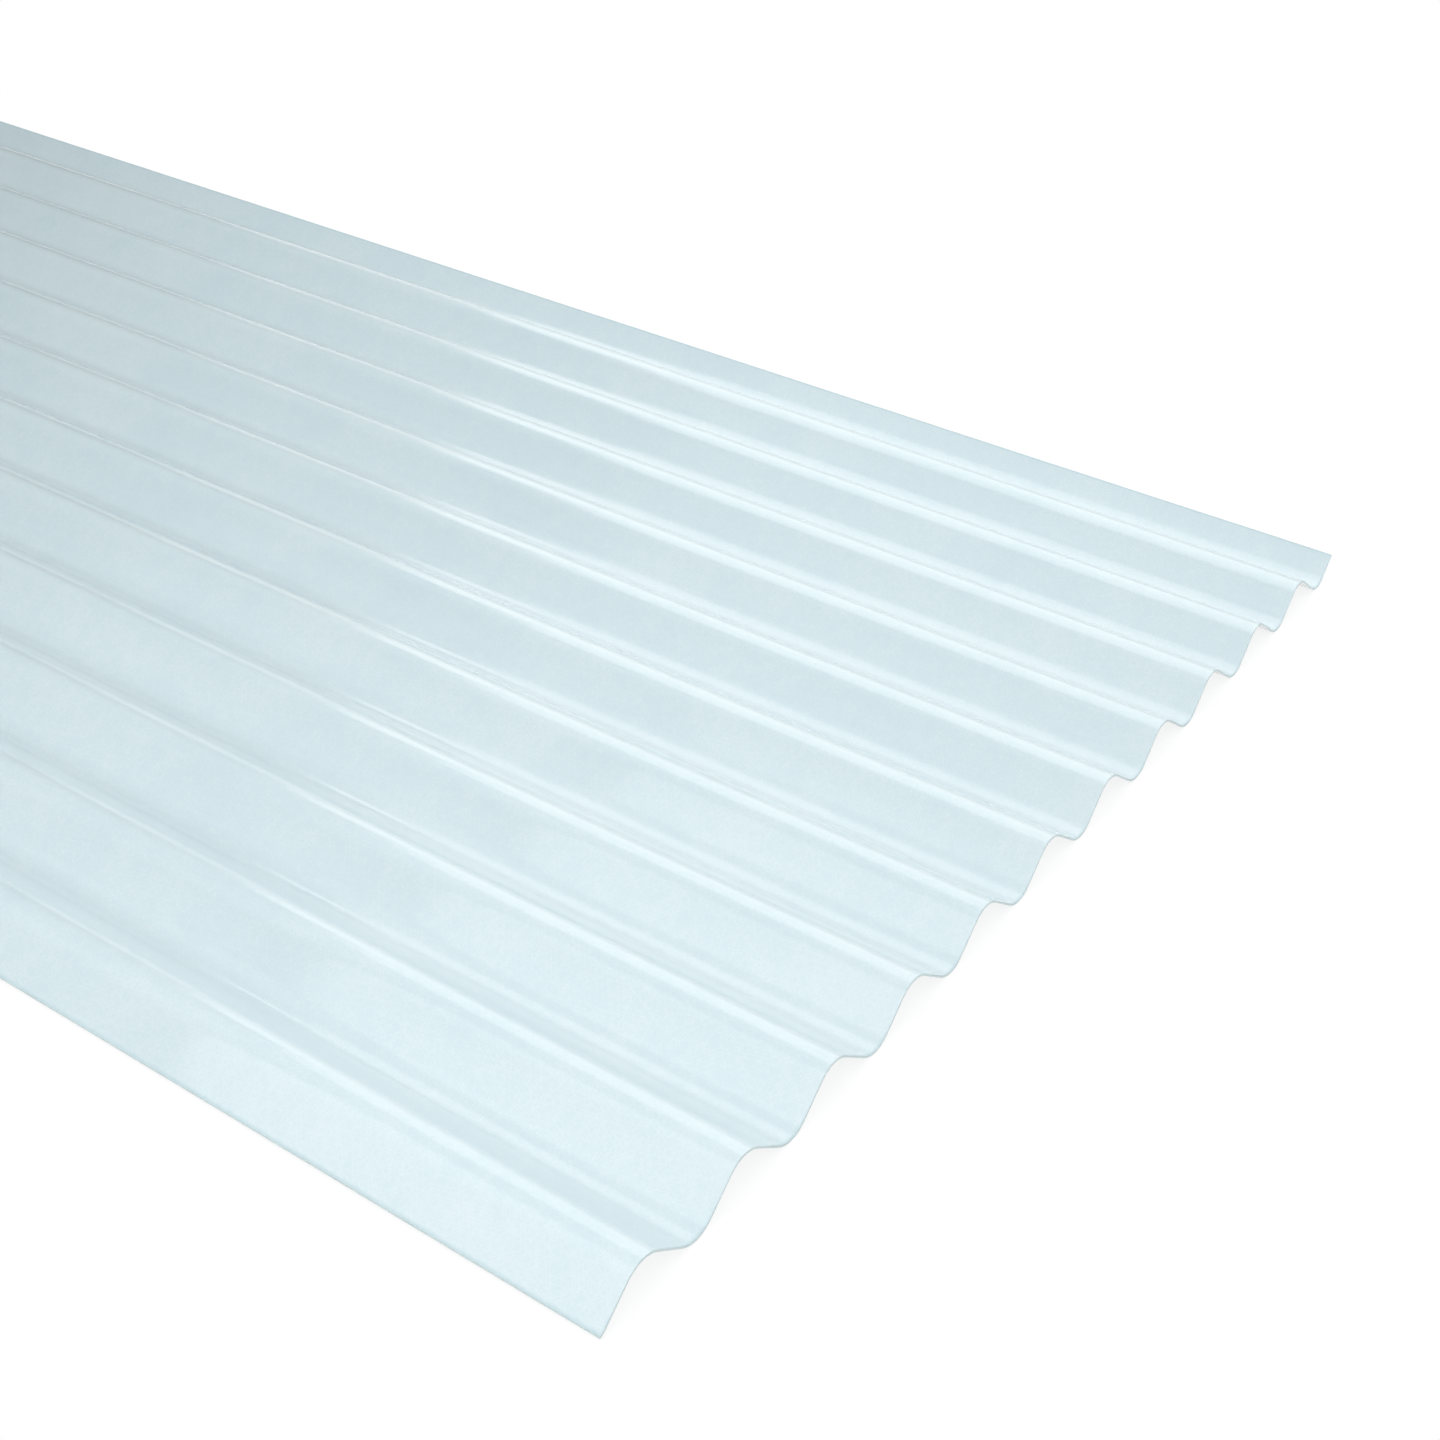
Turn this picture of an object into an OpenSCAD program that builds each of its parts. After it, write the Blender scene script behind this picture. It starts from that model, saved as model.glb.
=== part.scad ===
// Corrugated fibreglass roofing sheet: one moulded laminate of polyester resin and chopped
// glass strand, with round waves along its length and its four edges slit square.
// It lies crests up. X runs along the waves, Y across them and Z up. The origin is on the
// floor, under the middle of the sheet.

/* [Sheet] */
// Length along the waves
sheet_len = 2400; // [1200:100:6000]
// Width across the waves, from slit edge to slit edge
sheet_w = 858; // [600:1:1200]
// Thickness of the laminate
sheet_t = 1.2; // [0.8:0.1:2.4]

/* [Waves] */
// Distance from crest to crest
wave_pitch = 76.2; // [70:0.1:100]
// Height of a wave, from valley to crest on one face
wave_depth = 18; // [12:0.5:24]
// Radius of every crest and valley at mid-thickness
bend_r = 19; // [10:0.5:24]
// How far past the middle of its valley the underlap edge is slit
underlap_edge = 6.5; // [0:0.5:30]

/* [Hidden] */

// Flat steps that each round bend is drawn in, an even number so that one point is its summit
bend_steps = 12;

half_pitch = wave_pitch / 2;
// Height of the arc centres: a crest turns about a point below it, a valley about one above it
crest_centre_z = sheet_t / 2 + wave_depth - bend_r;
valley_centre_z = sheet_t / 2 + bend_r;
// A flank is the straight line that touches both arcs and crosses between their centres
centre_gap = norm([half_pitch, valley_centre_z - crest_centre_z]);
flank_angle = asin(2 * bend_r / centre_gap) - atan2(valley_centre_z - crest_centre_z, half_pitch);
// Bends that cover the width, valleys and crests in turn, from the valley under the near edge
last_bend = 2 * ceil((sheet_w + underlap_edge) / wave_pitch);
section_h = wave_depth + sheet_t;

// One bend of the face that lies "above" over mid-thickness, from flank to flank;
// rise is 1 for a crest and -1 for a valley
function bend_points(y, rise, above) = [
    for (i = [0 : bend_steps])
        let (
            turn = flank_angle * (2 * i / bend_steps - 1),
            face_r = bend_r + rise * above,
            centre_z = rise > 0 ? crest_centre_z : valley_centre_z
        )
        [y + face_r * sin(turn), centre_z + rise * face_r * cos(turn)]
];

// The whole wavy line of one face; the straight flanks join bend to bend
function face_points(above) = [
    for (i = [0 : last_bend])
        each bend_points(i * half_pitch - underlap_edge, i % 2 == 0 ? -1 : 1, above)
];

function reversed(points) = [for (i = [len(points) - 1 : -1 : 0]) points[i]];

// Cross-section of the laminate, slit to the sheet's width
module section() {
    intersection() {
        polygon(concat(face_points(-sheet_t / 2), reversed(face_points(sheet_t / 2))));
        square([sheet_w, section_h]);
    }
}

module corrugated_sheet() {
    color([0.80, 0.90, 0.92])
        translate([-sheet_len / 2, -sheet_w / 2, 0])
            rotate([90, 0, 90])
                linear_extrude(height = sheet_len)
                    section();
}

corrugated_sheet();
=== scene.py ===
import math

import bmesh
import bpy
from mathutils import Matrix, Vector, noise


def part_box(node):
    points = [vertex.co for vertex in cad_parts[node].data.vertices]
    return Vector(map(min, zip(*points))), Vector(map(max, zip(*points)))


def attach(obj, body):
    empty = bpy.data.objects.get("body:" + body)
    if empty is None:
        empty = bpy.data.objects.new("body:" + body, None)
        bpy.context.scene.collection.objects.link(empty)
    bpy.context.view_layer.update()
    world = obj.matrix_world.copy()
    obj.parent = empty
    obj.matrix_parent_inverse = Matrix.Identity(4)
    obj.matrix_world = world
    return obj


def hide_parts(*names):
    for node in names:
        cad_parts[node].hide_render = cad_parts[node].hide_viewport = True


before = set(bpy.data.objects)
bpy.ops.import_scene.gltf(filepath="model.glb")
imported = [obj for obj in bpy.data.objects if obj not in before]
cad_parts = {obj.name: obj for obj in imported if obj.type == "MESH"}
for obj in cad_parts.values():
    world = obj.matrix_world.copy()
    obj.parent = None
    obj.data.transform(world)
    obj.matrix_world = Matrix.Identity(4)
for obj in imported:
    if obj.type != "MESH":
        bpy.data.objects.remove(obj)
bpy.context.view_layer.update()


# --- The sheet -------------------------------------------------------------------------
# One laminate of clear polyester resin and chopped glass strand, drawn between two films
# through rollers that leave round waves in it, then slit and sawn square on all four sides.

sheet_low, sheet_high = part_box("corrugated_sheet")
sheet_len = sheet_high.x - sheet_low.x
sheet_w = sheet_high.y - sheet_low.y
laminate_t = 0.0012
wave_pitch = 0.0762
wave_depth = sheet_high.z - laminate_t
bend_r = 0.019
underlap_edge = 0.0065  # how far past the middle of its valley this edge is slit
bend_steps = 8
draw_steps = 220
corner_r = 0.0001  # what handling takes off the corners of a cut
saw_lean = 0.15  # how far off plumb the saw ran across one end
nick_depth = 0.00012
line_drift, short_drift = 0.0003, 0.00012  # how far the waves stray, over a long and a short run
shallow_share = 0.008
relief_height = 0.0001
light_through = 0.2
resin_ior = 1.56
deep_blue = (0.55, 0.70, 0.75, 1)
milky_blue = (0.70, 0.80, 0.83, 1)
bruised_blue = (0.50, 0.65, 0.69, 1)
edge_blue = (0.52, 0.65, 0.66, 1)
strand_white = (0.74, 0.84, 0.85, 1)


def roll_waves(bm, face_side):
    """Lays one face's outline across the sheet, each bend spun about its own centre."""
    half_pitch = wave_pitch / 2
    rise = 2 * bend_r - wave_depth
    flank = math.asin(2 * bend_r / math.hypot(half_pitch, rise)) - math.atan2(rise, half_pitch)
    bend_count = 2 * math.ceil((sheet_w + underlap_edge) / wave_pitch) + 1
    last = None
    for bend in range(bend_count):
        side = -1 if bend % 2 == 0 else 1
        radius = bend_r + side * face_side * laminate_t / 2
        centre = Vector((sheet_low.x, sheet_low.y - underlap_edge + bend * half_pitch, 0))
        centre.z = sheet_high.z / 2 + side * (wave_depth / 2 - bend_r)
        start = centre + radius * Vector((0, -math.sin(flank), side * math.cos(flank)))
        first = bm.verts.new(start)
        if last:
            bm.edges.new((last, first))
        turn = bmesh.ops.spin(
            bm, geom=[first], cent=centre, axis=(1, 0, 0), angle=-side * 2 * flank, steps=bend_steps
        )
        last = turn["geom_last"][0]


def wander(point, seed, spacing):
    """A slow drift between about -1 and 1 that turns every few spacings."""
    return noise.noise(point / spacing + Vector((seed, 2.7 * seed, 0)))


def let_waves_wander(bm):
    """The rollers leave the waves a little out of line, and here and there a little shallow."""
    middle = sheet_high.z / 2
    for vert in bm.verts:
        flat_place = Vector((vert.co.x, vert.co.y, 0))
        vert.co.y += line_drift * wander(flat_place, 3.0, 0.4) + short_drift * wander(flat_place, 6.0, 0.09)
        shallow = shallow_share * (1 + wander(flat_place, 8.0, 0.15))
        vert.co.z += shallow * (middle - vert.co.z)


def cut_lines(bm):
    """The cut vertices of each side, with the axis they may move along and which way is inward."""
    rim = {vert for edge in bm.edges if edge.is_boundary for vert in edge.verts}
    for axis, low, high in ((0, sheet_low.x, sheet_high.x), (1, sheet_low.y, sheet_high.y)):
        for limit, inward in ((low, 1), (high, -1)):
            yield [vert for vert in rim if abs(vert.co[axis] - limit) < 1e-5], axis, inward


def build_sheet():
    """Two rolled faces drawn out to length, slit, nicked and sawn, and joined round their rim."""
    sawn_zone = 0.001
    smooth_up_to = math.radians(25)
    bm = bmesh.new()
    for face_side in (-1, 1):
        roll_waves(bm, face_side)
    bmesh.ops.spin(
        bm, geom=bm.verts[:] + bm.edges[:], cent=(0, 0, 0), axis=(1, 0, 0), angle=0,
        dvec=(sheet_len / draw_steps, 0, 0), steps=draw_steps
    )
    let_waves_wander(bm)
    for edge_y, outward in ((sheet_low.y, -1), (sheet_high.y, 1)):
        bmesh.ops.bisect_plane(
            bm, geom=bm.verts[:] + bm.edges[:] + bm.faces[:], dist=1e-7,
            plane_co=(0, edge_y, 0), plane_no=(0, outward, 0), clear_outer=True
        )
    for edge_verts, axis, inward in cut_lines(bm):
        for vert in edge_verts:
            nick = nick_depth * (1 + wander(vert.co, 5.0, 0.009))
            vert.co[axis] += inward * nick
    for vert in bm.verts:
        if vert.co.x > sheet_high.x - sawn_zone:
            vert.co.x -= saw_lean * (vert.co.z - sheet_low.z)
    rim = bmesh.ops.bridge_loops(bm, edges=[edge for edge in bm.edges if edge.is_boundary])
    for face in rim["faces"]:
        face.material_index = 1
    bmesh.ops.recalc_face_normals(bm, faces=bm.faces[:])
    arrises = [edge for edge in bm.edges if len({face.material_index for face in edge.link_faces}) == 2]
    bmesh.ops.bevel(
        bm, geom=arrises, offset=corner_r, offset_type="OFFSET", segments=1, profile=0.5,
        affect="EDGES", material=-1
    )
    for face in bm.faces:
        face.smooth = True
    mesh = bpy.data.meshes.new("fibreglass_sheet")
    bm.to_mesh(mesh)
    bm.free()
    mesh.set_sharp_from_angle(angle=smooth_up_to)
    return mesh


sheet = bpy.data.objects.new("fibreglass_sheet", build_sheet())
bpy.context.scene.collection.objects.link(sheet)


class Wire:
    """One output of a node tree. Python's operators add Math nodes to it."""

    def __init__(self, tree, socket=None):
        self.tree = tree
        self.socket = socket

    def node(self, kind, settings, sockets, outlet=0):
        """Any node: its settings are made first, then its sockets take numbers or wires."""
        made = self.tree.nodes.new("ShaderNode" + kind)
        for name, value in settings.items():
            setattr(made, name, value)
        for name, value in sockets.items():
            if isinstance(value, Wire):
                self.tree.links.new(value.socket, made.inputs[name])
            else:
                made.inputs[name].default_value = value
        return Wire(self.tree, made.outputs[outlet]) if made.outputs else None

    def math(self, operation, first, second=0.0):
        return self.node("Math", {"operation": operation}, {0: first, 1: second})

    def __add__(self, other):
        return self.math("ADD", self, other)

    def __radd__(self, other):
        return self.math("ADD", other, self)

    def __sub__(self, other):
        return self.math("SUBTRACT", self, other)

    def __rsub__(self, other):
        return self.math("SUBTRACT", other, self)

    def __mul__(self, other):
        return self.math("MULTIPLY", self, other)

    def __rmul__(self, other):
        return self.math("MULTIPLY", other, self)

    def above(self, start, full):
        """0 up to start, 1 from full on, with a soft step between."""
        return self.node(
            "MapRange", {"interpolation_type": "SMOOTHSTEP"},
            {"Value": self, "From Min": start, "From Max": full}
        )

    def tint(self, first, second):
        """A colour that runs from first to second as this wire goes from 0 to 1."""
        return self.node("Mix", {"data_type": "RGBA"}, {0: self, 6: first, 7: second}, outlet=2)


def noise_field(tree, place, scale, detail, seed):
    """Smooth cloudiness about 1 / scale metres across, between 0 and 1."""
    return tree.node(
        "TexNoise", {"noise_dimensions": "4D"},
        {"Vector": place, "W": seed, "Scale": scale, "Detail": detail, "Roughness": 0.55}
    )


def scaled(tree, place, scale):
    """The place stretched by a different number along each axis."""
    return tree.node("VectorMath", {"operation": "MULTIPLY"}, {0: place, 1: scale})


def strand_layer(tree, place, lay_angle, seed):
    """Chopped strands that lie near one angle: long thin cells, bright along their middles."""
    length, width = 0.045, 0.0011
    turned = tree.node(
        "Mapping", {"vector_type": "TEXTURE"},
        {"Vector": place, "Location": (seed, 0.37 * seed, 0), "Rotation": (0, 0, lay_angle),
         "Scale": (length, width, 1)}
    )
    cells = tree.node(
        "TexVoronoi", {"voronoi_dimensions": "2D"}, {"Vector": turned, "Scale": 1.0}
    )
    return 1 - cells.above(0.12, 0.42)


def chopped_strands(tree, place):
    """Six layers of strands a twelfth of a turn apart, each bent a little as the resin carried it."""
    bend = tree.node(
        "TexNoise", {}, {"Vector": place, "Scale": 22.0, "Detail": 1.0}, outlet="Color"
    )
    swirl = tree.node(
        "VectorMath", {"operation": "MULTIPLY_ADD"},
        {0: bend, 1: (0.006, 0.006, 0), 2: place}
    )
    layers, first_angle = 6, 11
    strands = 0.0
    for layer in range(layers):
        lay_angle = math.radians(first_angle + 180 / layers * layer)
        strands = strand_layer(tree, swirl, lay_angle, 0.731 * layer) * 0.2 + strands
    return strands


def trapped_air(tree, place):
    """Pinhead bubbles, well apart, that the rollers left in the resin."""
    spacing = 0.004
    cells = tree.node(
        "TexVoronoi", {}, {"Vector": place, "Scale": 1 / spacing}, outlet="Distance"
    )
    chosen = tree.node("TexVoronoi", {}, {"Vector": place, "Scale": 1 / spacing}, outlet="Color")
    return (1 - cells.above(0.04, 0.09)) * chosen.above(0.8, 0.85)


def cut_margin(tree, place):
    """The distance in from the nearest of the four cut edges."""
    flat = tree.node("VectorMath", {"operation": "ABSOLUTE"}, {0: place})
    along = sheet_high.x - tree.node("SeparateXYZ", {}, {0: flat}, outlet="X")
    across = sheet_high.y - tree.node("SeparateXYZ", {}, {0: flat}, outlet="Y")
    return tree.math("MINIMUM", along, across)


def fibreglass():
    """Pale blue translucent laminate: strands and cloud in its depth, a pressed gloss on its face."""
    material = bpy.data.materials.new("fibreglass")
    material.use_nodes = True
    material.node_tree.nodes.clear()
    tree = Wire(material.node_tree)
    place = tree.node("TexCoord", {}, {}, outlet="Object")
    strands = chopped_strands(tree, place)
    cloud = noise_field(tree, place, 13.0, 3.0, 0.0)
    fine_cloud = noise_field(tree, place, 90.0, 4.0, 4.0)
    drawn = noise_field(tree, scaled(tree, place, (2.0, 110.0, 110.0)), 1.0, 2.0, 7.0)
    ripple = noise_field(tree, place, 110.0, 2.0, 9.0)
    bubbles = trapped_air(tree, place)
    chips = noise_field(tree, place, 420.0, 2.0, 12.0)
    chip_reach, bruise_full, bruise_end = 0.002, 0.0011, 0.0032
    bruised = 1 - (cut_margin(tree, place) + chips * chip_reach).above(bruise_full, bruise_end)

    milk = cloud * 0.55 + fine_cloud * 0.2 + strands * 0.6 + bubbles * 0.5
    body = milk.tint(deep_blue, milky_blue)
    colour = bruised.tint(body, bruised_blue)
    roughness = 0.3 + fine_cloud * 0.05 + drawn * 0.03 + bruised * 0.3
    film = 1 - bruised * 0.7
    relief = ripple * 0.7 + strands * 0.25 + drawn * 0.3 + bubbles * 0.2
    bump = tree.node("Bump", {}, {"Height": relief, "Distance": relief_height, "Strength": 1.0})
    surface = tree.node(
        "BsdfPrincipled", {},
        {"Base Color": colour, "Roughness": roughness, "IOR": resin_ior,
         "Transmission Weight": light_through, "Coat Weight": film, "Coat Roughness": 0.08,
         "Coat IOR": resin_ior, "Normal": bump}
    )
    tree.node("OutputMaterial", {}, {"Surface": surface})
    return material


def cut_laminate():
    """The sawn edge: dull, a shade deeper, with the ends of the strands showing pale."""
    material = bpy.data.materials.new("cut_laminate")
    material.use_nodes = True
    material.node_tree.nodes.clear()
    tree = Wire(material.node_tree)
    place = tree.node("TexCoord", {}, {}, outlet="Object")
    ends = noise_field(tree, place, 900.0, 3.0, 1.0)
    wear = noise_field(tree, place, 60.0, 2.0, 6.0)
    colour = (ends * 0.6 + wear * 0.4).tint(edge_blue, strand_white)
    bump = tree.node("Bump", {}, {"Height": ends, "Distance": relief_height, "Strength": 1.0})
    surface = tree.node(
        "BsdfPrincipled", {},
        {"Base Color": colour, "Roughness": 0.45 + ends * 0.3, "IOR": resin_ior,
         "Transmission Weight": light_through, "Normal": bump}
    )
    tree.node("OutputMaterial", {}, {"Surface": surface})
    return material


sheet.data.materials.append(fibreglass())
sheet.data.materials.append(cut_laminate())
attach(sheet, "root")
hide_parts("corrugated_sheet")


# --- The studio ------------------------------------------------------------------------
# A pale floor that keeps the sheet's shadow, a white surround, and soft lamps in an arch over
# the sheet. The bright ones low at the back draw a line of light along each bend.

def background_rays(tree):
    """1 for what the camera sees itself, in a reflection or through the sheet."""
    seen = 0.0
    for ray in ("Is Camera Ray", "Is Glossy Ray", "Is Transmission Ray"):
        seen = tree.node("LightPath", {}, {}, outlet=ray) + seen
    return tree.math("MINIMUM", seen, 1.0)


def pale_floor():
    """White to the eye; the part of it that the lamps light keeps the sheet's shadow."""
    material = bpy.data.materials.new("pale_floor")
    material.use_nodes = True
    material.node_tree.nodes.clear()
    tree = Wire(material.node_tree)
    place = tree.node("TexCoord", {}, {}, outlet="Object")
    clear_of_sheet = 0 - cut_margin(tree, place)
    lit = tree.node("BsdfDiffuse", {}, {"Color": (0.9, 0.9, 0.9, 1)})
    white = tree.node("Emission", {}, {"Color": (1, 1, 1, 1), "Strength": 1.0})
    white_by_sheet, clear_by = 0.85, 0.15
    whiter = clear_of_sheet.above(0.0, clear_by) * (1 - white_by_sheet)
    share = background_rays(tree) * (white_by_sheet + whiter)
    surface = tree.node("MixShader", {}, {0: share, 1: lit, 2: white})
    tree.node("OutputMaterial", {}, {"Surface": surface})
    return material


def white_surround():
    """White to the eye. The sheet mirrors it white only near the horizon, as in a light tent."""
    world = bpy.data.worlds.new("white_surround")
    bpy.context.scene.world = world
    world.use_nodes = True
    world.node_tree.nodes.clear()
    tree = Wire(world.node_tree)
    direction = tree.node("TexCoord", {}, {}, outlet="Generated")
    height = tree.node("SeparateXYZ", {}, {0: direction}, outlet="Z")
    mirrored = tree.node("LightPath", {}, {}, outlet="Is Glossy Ray")
    seen = background_rays(tree)
    horizon_top, mirrored_dark = 0.12, 0.9
    low_light, sky_light = 0.1, 0.83
    to_eye = seen - mirrored * height.above(0.0, horizon_top) * mirrored_dark
    to_sheet = (1 - seen) * (low_light + height.above(0.1, 0.6) * sky_light)
    light = tree.node("Background", {}, {"Color": (1, 1, 1, 1), "Strength": to_eye + to_sheet})
    tree.node("OutputWorld", {}, {"Surface": light})


def arch_lamp(name, along, arc, strength):
    """A soft lamp face that fades at its rim, hidden from the eye but not from the sheet. It spans
    some metres along the sheet and some degrees, from the far floor up, of an arch over it."""
    arch_r, fade = 1.2, 0.15
    start, stop = math.radians(arc[0]), math.radians(arc[1])
    facing = (start + stop) / 2
    reach = arch_r * math.cos((stop - start) / 2)
    data = bpy.data.lights.new(name, "AREA")
    data.shape = "RECTANGLE"
    data.size = along[1] - along[0]
    data.size_y = 2 * arch_r * math.sin((stop - start) / 2)
    data.energy = math.pi * data.size * data.size_y
    data.use_nodes = True
    data.node_tree.nodes.clear()
    tree = Wire(data.node_tree)
    on_face = tree.node("NewGeometry", {}, {}, outlet="Parametric")
    glow = strength
    for axis, size in (("X", data.size), ("Y", data.size_y)):
        across = tree.node("SeparateXYZ", {}, {0: on_face}, outlet=axis)
        glow = across.above(0.0, fade / size) * (1 - across).above(0.0, fade / size) * glow
    face = tree.node("Emission", {}, {"Strength": glow})
    tree.node("OutputLight", {}, {"Surface": face})
    made = bpy.data.objects.new(name, data)
    made.location = ((along[0] + along[1]) / 2, reach * math.cos(facing), reach * math.sin(facing))
    made.rotation_euler.x = facing - math.pi / 2
    made.visible_camera = False
    bpy.context.scene.collection.objects.link(made)


floor_reach, floor_gap = 12, 0.0002
floor_mesh = bpy.data.meshes.new("studio_floor")
bm = bmesh.new()
bmesh.ops.create_grid(bm, x_segments=1, y_segments=1, size=floor_reach)
bm.to_mesh(floor_mesh)
bm.free()
floor_mesh.materials.append(pale_floor())
studio_floor = bpy.data.objects.new("studio_floor", floor_mesh)
studio_floor.location.z = sheet_low.z - floor_gap
bpy.context.scene.collection.objects.link(studio_floor)
white_surround()

arch_lamp("low_lamp", (-0.65, 2.3), (0, 27), 0.55)
arch_lamp("back_lamp_low", (-0.2, 1.7), (16, 50), 1.2)
arch_lamp("back_lamp_high", (0.0, 1.7), (44, 72), 1.2)
arch_lamp("top_lamp", (0.0, 1.9), (70, 106), 0.4)
arch_lamp("front_lamp_left", (-0.5, 0.4), (100, 160), 0.4)
arch_lamp("front_lamp", (0.3, 1.6), (100, 160), 1.2)
arch_lamp("front_lamp_right", (1.5, 2.4), (100, 160), 0.9)

camera_data = bpy.data.cameras.new("studio_camera")
camera_data.sensor_width = 36
camera_data.lens = 51.27
camera_data.clip_end = 60
camera = bpy.data.objects.new("studio_camera", camera_data)
azimuth, elevation, roll = math.radians(31.63), math.radians(32.46), math.radians(4.53)
near_corner = Vector((sheet_high.x, sheet_low.y, sheet_low.z))
stand_off = Vector((0.3206, -0.4664, 0.6625))
turn = Matrix.Rotation(azimuth, 4, "Z") @ Matrix.Rotation(math.pi / 2 - elevation, 4, "X")
camera.matrix_world = Matrix.Translation(near_corner + stand_off) @ turn @ Matrix.Rotation(roll, 4, "Z")
bpy.context.scene.collection.objects.link(camera)
bpy.context.scene.camera = camera
bpy.context.scene.view_settings.view_transform = "Standard"
